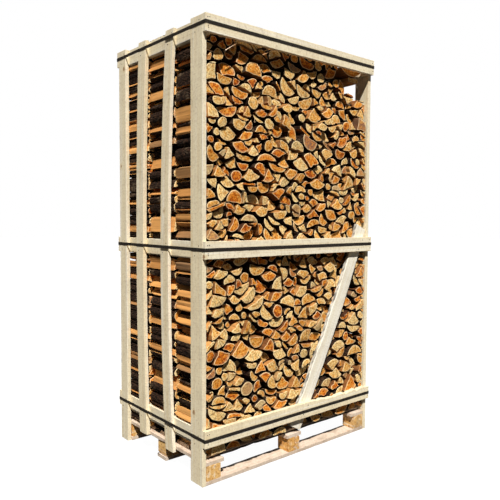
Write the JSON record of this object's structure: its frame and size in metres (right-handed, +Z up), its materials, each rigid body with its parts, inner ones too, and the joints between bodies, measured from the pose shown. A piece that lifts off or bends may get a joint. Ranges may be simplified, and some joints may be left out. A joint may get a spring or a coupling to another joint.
{
  "type": "pallet of firewood",
  "caption": "Slatted softwood crate on a block pallet, packed with stacked split firewood logs and bound with flat straps; forks enter from any side.",
  "frame": {"origin": "on the ground under the middle of the crate", "axes": "+Z up, +X along the long open side to the right as seen from the front, +Y from the front to the back"},
  "size_m": [1.1326, 0.7976, 2.05],
  "materials": {
    "sawn_board": "rough-sawn pale cream softwood",
    "pallet_board": "rough-sawn pinkish pallet board",
    "pallet_block": "rough tan end-grain pallet block",
    "split_log": "dry split hardwood, pale to orange end grain with brown bark",
    "packing_strap": "black woven packing strap"
  },
  "bodies": {
    "root": {"back_rail_bottom": "sawn_board", "back_rail_middle": "sawn_board", "back_rail_top": "sawn_board", "brace_back": "sawn_board", "brace_front": "sawn_board", "front_rail_bottom": "sawn_board", "front_rail_middle": "sawn_board", "front_rail_top": "sawn_board", "logs_back_row": "split_log", "logs_front_row": "split_log", "logs_middle_row": "split_log", "pallet_block_back_left": "pallet_block", "pallet_block_back_middle": "pallet_block", "pallet_block_back_right": "pallet_block", "pallet_block_front_left": "pallet_block", "pallet_block_front_middle": "pallet_block", "pallet_block_front_right": "pallet_block", "pallet_block_middle_left": "pallet_block", "pallet_block_middle_middle": "pallet_block", "pallet_block_middle_right": "pallet_block", "pallet_deck_board_1": "pallet_board", "pallet_deck_board_2": "pallet_board", "pallet_deck_board_3": "pallet_board", "pallet_deck_board_4": "pallet_board", "pallet_deck_board_5": "pallet_board", "pallet_runner_back": "pallet_board", "pallet_runner_front": "pallet_board", "pallet_runner_middle": "pallet_board", "pallet_stringer_left": "pallet_board", "pallet_stringer_middle": "pallet_board", "pallet_stringer_right": "pallet_board", "side_rail_left_bottom": "sawn_board", "side_rail_left_middle": "sawn_board", "side_rail_left_top": "sawn_board", "side_rail_right_bottom": "sawn_board", "side_rail_right_middle": "sawn_board", "side_rail_right_top": "sawn_board", "slat_left_1": "sawn_board", "slat_left_2": "sawn_board", "slat_left_3": "sawn_board", "slat_left_4": "sawn_board", "slat_right_1": "sawn_board", "slat_right_2": "sawn_board", "slat_right_3": "sawn_board", "slat_right_4": "sawn_board", "strap_bottom": "packing_strap", "strap_middle": "packing_strap", "strap_top": "packing_strap"}
  },
  "joints": []
}
